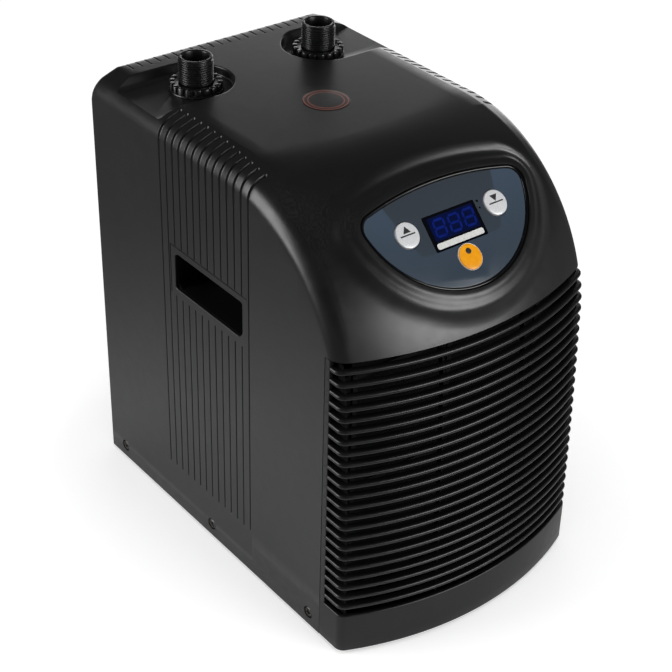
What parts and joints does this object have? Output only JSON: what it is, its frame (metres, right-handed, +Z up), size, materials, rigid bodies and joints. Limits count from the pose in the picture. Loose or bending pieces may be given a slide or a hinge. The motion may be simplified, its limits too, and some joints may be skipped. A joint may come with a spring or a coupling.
{
  "type": "aquarium chiller",
  "caption": "Bench-top aquarium water chiller with a bowed louvred front, tilted control panel with display and push buttons, threaded hose fittings and side hand grips.",
  "frame": {"origin": "centre of the footprint on the floor, under the rubber feet", "axes": "+Z up, the louvred front and the control panel face -Y, +X is to the right seen from the rear"},
  "size_m": [0.228, 0.3434, 0.3694],
  "materials": {
    "shell": "fine matte texture",
    "dark_plastic": "matte",
    "grip_black": "matte",
    "panel_blue": "satin film",
    "gasket": "gloss",
    "button_silver": "satin",
    "button_orange": "satin",
    "display_black": "gloss",
    "steel": "satin",
    "copper": "drawn copper",
    "fins": "mill finish",
    "titanium": "drawn",
    "rubber": "matte",
    "comp_paint": "gloss black",
    "motor_paint": "satin",
    "foam": "open-cell foam",
    "board_green": "solder mask",
    "white_plastic": "matte",
    "label": "satin film",
    "vessel": "satin"
  },
  "bodies": {
    "chassis": {"hood": "shell", "front_grille": "shell", "filter_frame": "dark_plastic", "filter_foam": "foam", "base_pan": "steel", "rear_panel": "dark_plastic", "foot_front_left": "rubber", "foot_front_right": "rubber", "foot_rear_left": "rubber", "foot_rear_right": "rubber", "side_screws": "steel", "rear_screws": "steel", "grip_pocket_left": "grip_black", "grip_pocket_right": "grip_black", "panel_plate": "panel_blue", "panel_gasket": "gasket", "display_window": "display_black", "display_module": "display_black", "tact_switches": "steel", "control_board": "board_green", "inlet_fitting": "dark_plastic", "outlet_fitting": "dark_plastic", "inlet_ring_nut": "dark_plastic", "outlet_ring_nut": "dark_plastic", "inlet_seal": "rubber", "outlet_seal": "rubber", "label_disc": "label", "vessel_barrel": "vessel", "vessel_caps": "vessel", "titanium_coil": "titanium", "condenser_fins": "fins", "condenser_coil": "copper", "condenser_plates": "steel", "fan_shroud": "dark_plastic", "fan_bracket": "steel", "fan_motor": "motor_paint", "compressor": "comp_paint", "compressor_foot_plate": "comp_paint", "compressor_grommets": "rubber", "compressor_studs": "steel", "terminal_cover": "white_plastic", "filter_drier": "copper", "discharge_pipe": "copper", "liquid_pipe": "copper", "suction_pipe": "copper", "capillary_tube": "copper", "start_capacitor": "white_plastic", "cord_gland": "dark_plastic", "fuse_holder": "dark_plastic"},
    "fan": {"fan_shaft": "steel", "fan_blade": "dark_plastic"},
    "up_key": {"button_up": "button_silver"},
    "down_key": {"button_down": "button_silver"},
    "set_key": {"button_set": "button_orange"}
  },
  "joints": [
    {"name": "fan_spin", "type": "hinge", "parent": "chassis", "child": "fan", "pos_m": [0, -0.0395, 0.1192], "axis": [0, 1, 0], "continuous": true},
    {"name": "up_press", "type": "slide", "parent": "chassis", "child": "up_key", "axis": [0, -0.6997, 0.7145], "range_m": [-0.0007, 0], "stiffness_N_per_m": 800},
    {"name": "down_press", "type": "slide", "parent": "chassis", "child": "down_key", "axis": [0, -0.6997, 0.7145], "range_m": [-0.0007, 0], "stiffness_N_per_m": 800},
    {"name": "set_press", "type": "slide", "parent": "chassis", "child": "set_key", "axis": [0, -0.6997, 0.7145], "range_m": [-0.0007, 0], "stiffness_N_per_m": 800}
  ]
}
